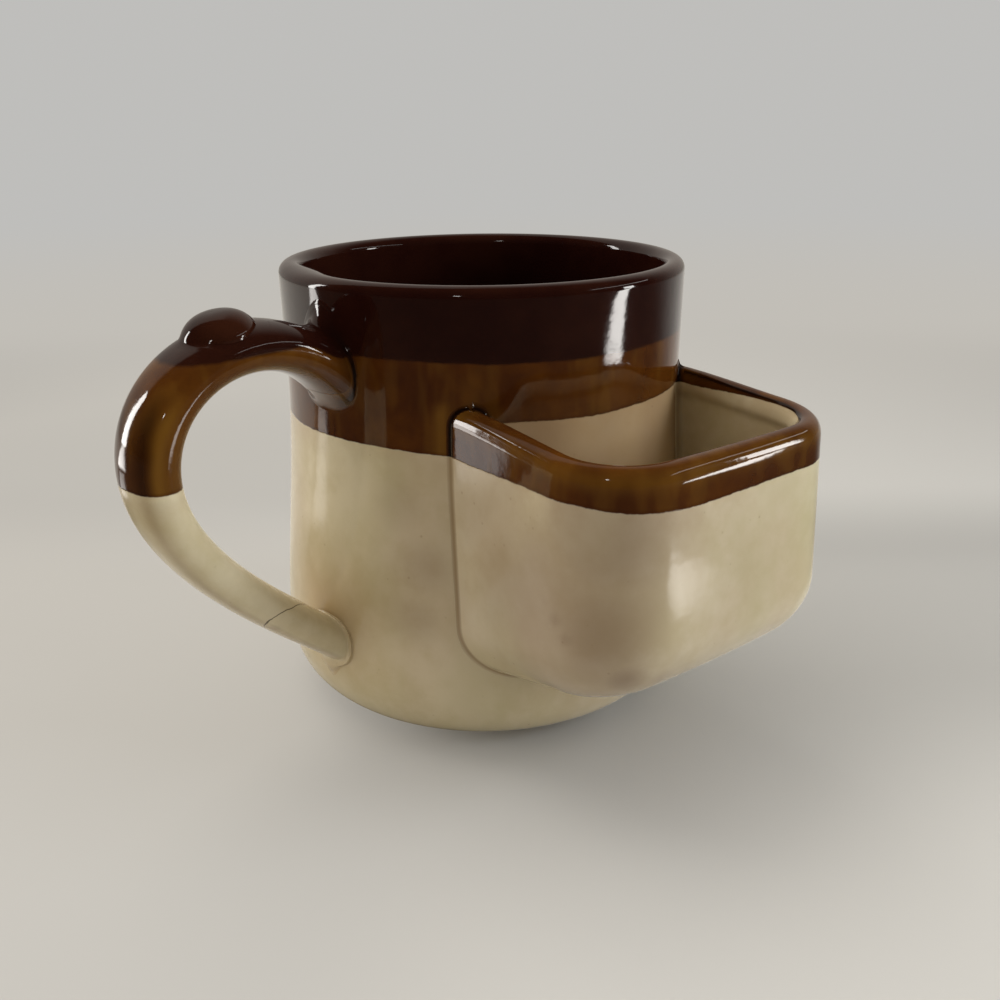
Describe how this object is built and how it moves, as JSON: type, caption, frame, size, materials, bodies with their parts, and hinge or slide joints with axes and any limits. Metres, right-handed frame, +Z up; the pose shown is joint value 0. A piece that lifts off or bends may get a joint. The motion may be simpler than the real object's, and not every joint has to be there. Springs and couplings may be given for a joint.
{
  "type": "soup mug",
  "caption": "Glazed stoneware soup mug with a biscuit pocket on one side and a loop handle with a thumb rest.",
  "frame": {"origin": "middle of the foot, on the surface that the mug stands on", "axes": "+Z up through the cup's axis, the biscuit pocket faces -Y and the handle points to -X"},
  "size_m": [0.1343, 0.1254, 0.0989],
  "materials": {
    "cream_glaze": "gloss",
    "amber_glaze": "gloss",
    "brown_glaze": "gloss"
  },
  "bodies": {
    "root": {"cup_body": "cream_glaze", "biscuit_pocket": "cream_glaze", "handle": "amber_glaze", "thumb_rest": "brown_glaze", "handle_upper_joint": "brown_glaze", "handle_lower_joint": "cream_glaze", "pocket_outer_joint": "cream_glaze", "pocket_inner_joint": "cream_glaze"}
  },
  "joints": []
}
